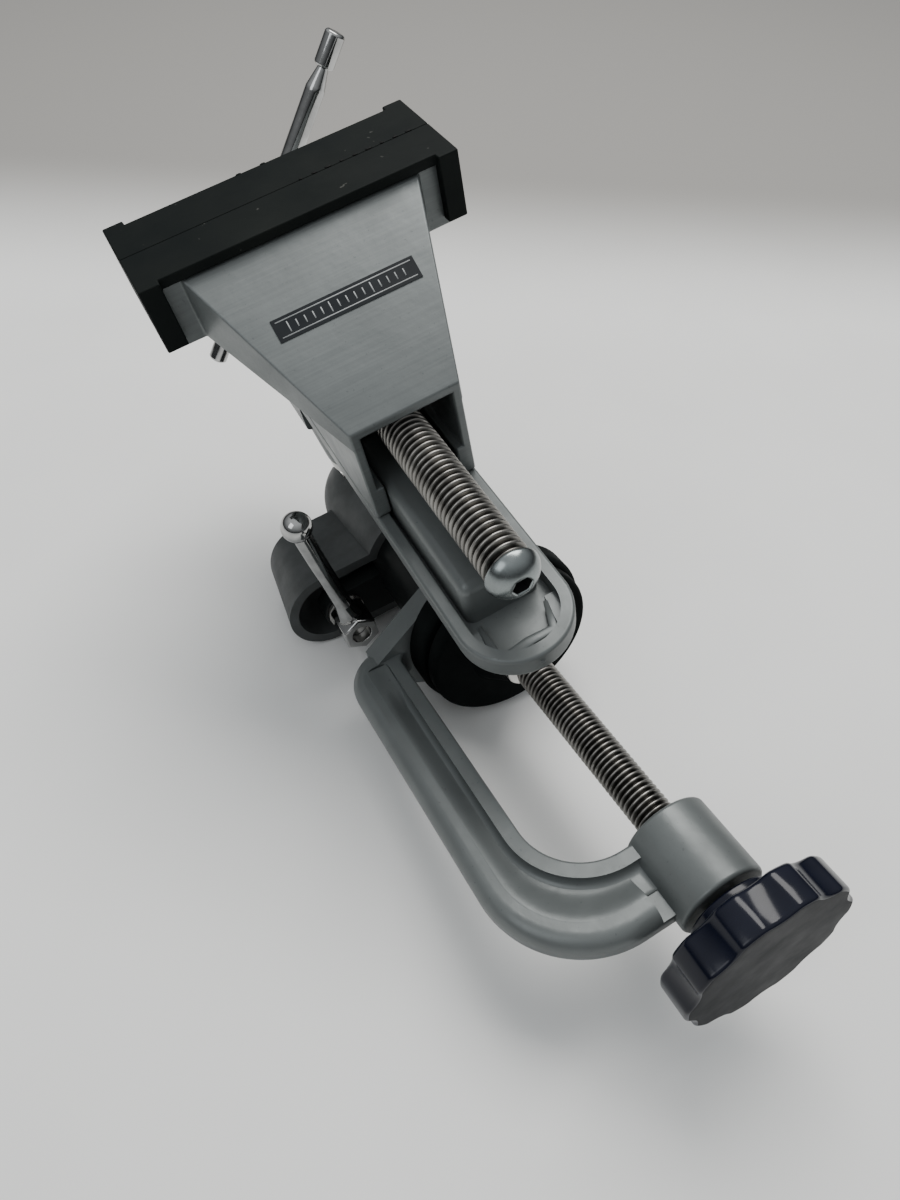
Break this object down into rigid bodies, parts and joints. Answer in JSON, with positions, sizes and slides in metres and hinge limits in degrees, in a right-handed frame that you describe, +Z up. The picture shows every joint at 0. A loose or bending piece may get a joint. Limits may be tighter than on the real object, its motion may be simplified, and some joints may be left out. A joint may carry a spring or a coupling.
{
  "type": "ball-joint table vise",
  "caption": "Small clamp-on bench vise for circuit boards and other light work: soft-capped screw jaws on a locking ball joint above a C-clamp with a knobbed spindle.",
  "frame": {"origin": "centre of the resting outline on the floor", "axes": "+Z up from the floor the vise lies on, +Y along the clamp spindle from the knob to the pad as seen from above, +X to the right of it"},
  "size_m": [0.0946, 0.2358, 0.1468],
  "materials": {
    "casting": "satin silver-grey paint on die-cast metal",
    "housing": "matte dark grey paint",
    "black_plastic": "matte black",
    "knob_plastic": "glossy black",
    "pad_rubber": "matte black rubber",
    "cap_rubber": "soft matte black rubber",
    "steel": "bright zinc-plated steel",
    "chrome": "polished plating",
    "label": "printed film, plain"
  },
  "bodies": {
    "clamp": {"c_frame": "casting", "frame_pad": "pad_rubber", "socket_seat": "black_plastic", "socket_cap": "housing", "seat_screw_left": "steel", "seat_screw_right": "steel", "clamp_stud": "steel", "stud_washer": "steel"},
    "lever": {"lever_nut": "chrome", "lever_rod": "chrome", "lever_ball": "chrome"},
    "foot": {"pressure_foot": "pad_rubber", "foot_retainer": "steel"},
    "spindle": {"clamp_spindle": "steel", "star_knob": "knob_plastic"},
    "swivel_ball": {"joint_ball": "steel", "ball_stem": "steel"},
    "head": {"fixed_jaw": "casting", "stem_washer": "black_plastic", "fixed_cap": "cap_rubber"},
    "slide_jaw": {"moving_jaw": "casting", "lead_nut": "steel", "nut_plate": "steel", "moving_cap": "cap_rubber", "jaw_label": "label"},
    "screw": {"lead_screw": "steel", "screw_ring": "steel", "end_screw": "steel"},
    "handle": {"handle_bar": "chrome", "bar_cap_upper": "chrome", "bar_cap_lower": "chrome"}
  },
  "joints": [
    {"name": "lever_turn", "type": "hinge", "parent": "clamp", "child": "lever", "pos_m": [-0.01231, 0.02498, 0.0156], "axis": [0, 0.9935, -0.1139], "range_deg": [-100, 15]},
    {"name": "foot_travel", "type": "slide", "parent": "clamp", "child": "foot", "axis": [0, -0.9935, 0.1139], "range_m": [-0.0004, 0.048]},
    {"name": "spindle_turn", "type": "hinge", "parent": "foot", "child": "spindle", "pos_m": [0.02085, -0.07943, 0.03554], "axis": [0, 0.9935, -0.1139], "range_deg": [-11600, 200]},
    {"name": "ball_tilt", "type": "hinge", "parent": "clamp", "child": "swivel_ball", "pos_m": [0.01674, 0.06964, 0.01879], "axis": [-0.9871, -0.0183, -0.1592], "range_deg": [0, 90]},
    {"name": "head_swivel", "type": "hinge", "parent": "swivel_ball", "child": "head", "pos_m": [0.01674, 0.06964, 0.01879], "axis": [-0.2159, -0.0053, 0.9764], "range_deg": [-10, 60]},
    {"name": "jaw_slide", "type": "slide", "parent": "head", "child": "slide_jaw", "axis": [-0.0053, -1, -0.0066], "range_m": [0, 0.06]},
    {"name": "screw_turn", "type": "hinge", "parent": "head", "child": "screw", "pos_m": [0.00016, 0.06386, 0.09364], "axis": [0.0053, 1, 0.0066], "range_deg": [-20, 12400]},
    {"name": "handle_slide", "type": "slide", "parent": "screw", "child": "handle", "axis": [0.473, -0.0083, 0.881], "range_m": [-0.04, 0.02]}
  ],
  "couplings": [
    {"joint": "spindle_turn", "follows": "foot_travel", "rad_per_m": -4188.8},
    {"joint": "screw_turn", "follows": "jaw_slide", "rad_per_m": 3590.4}
  ]
}
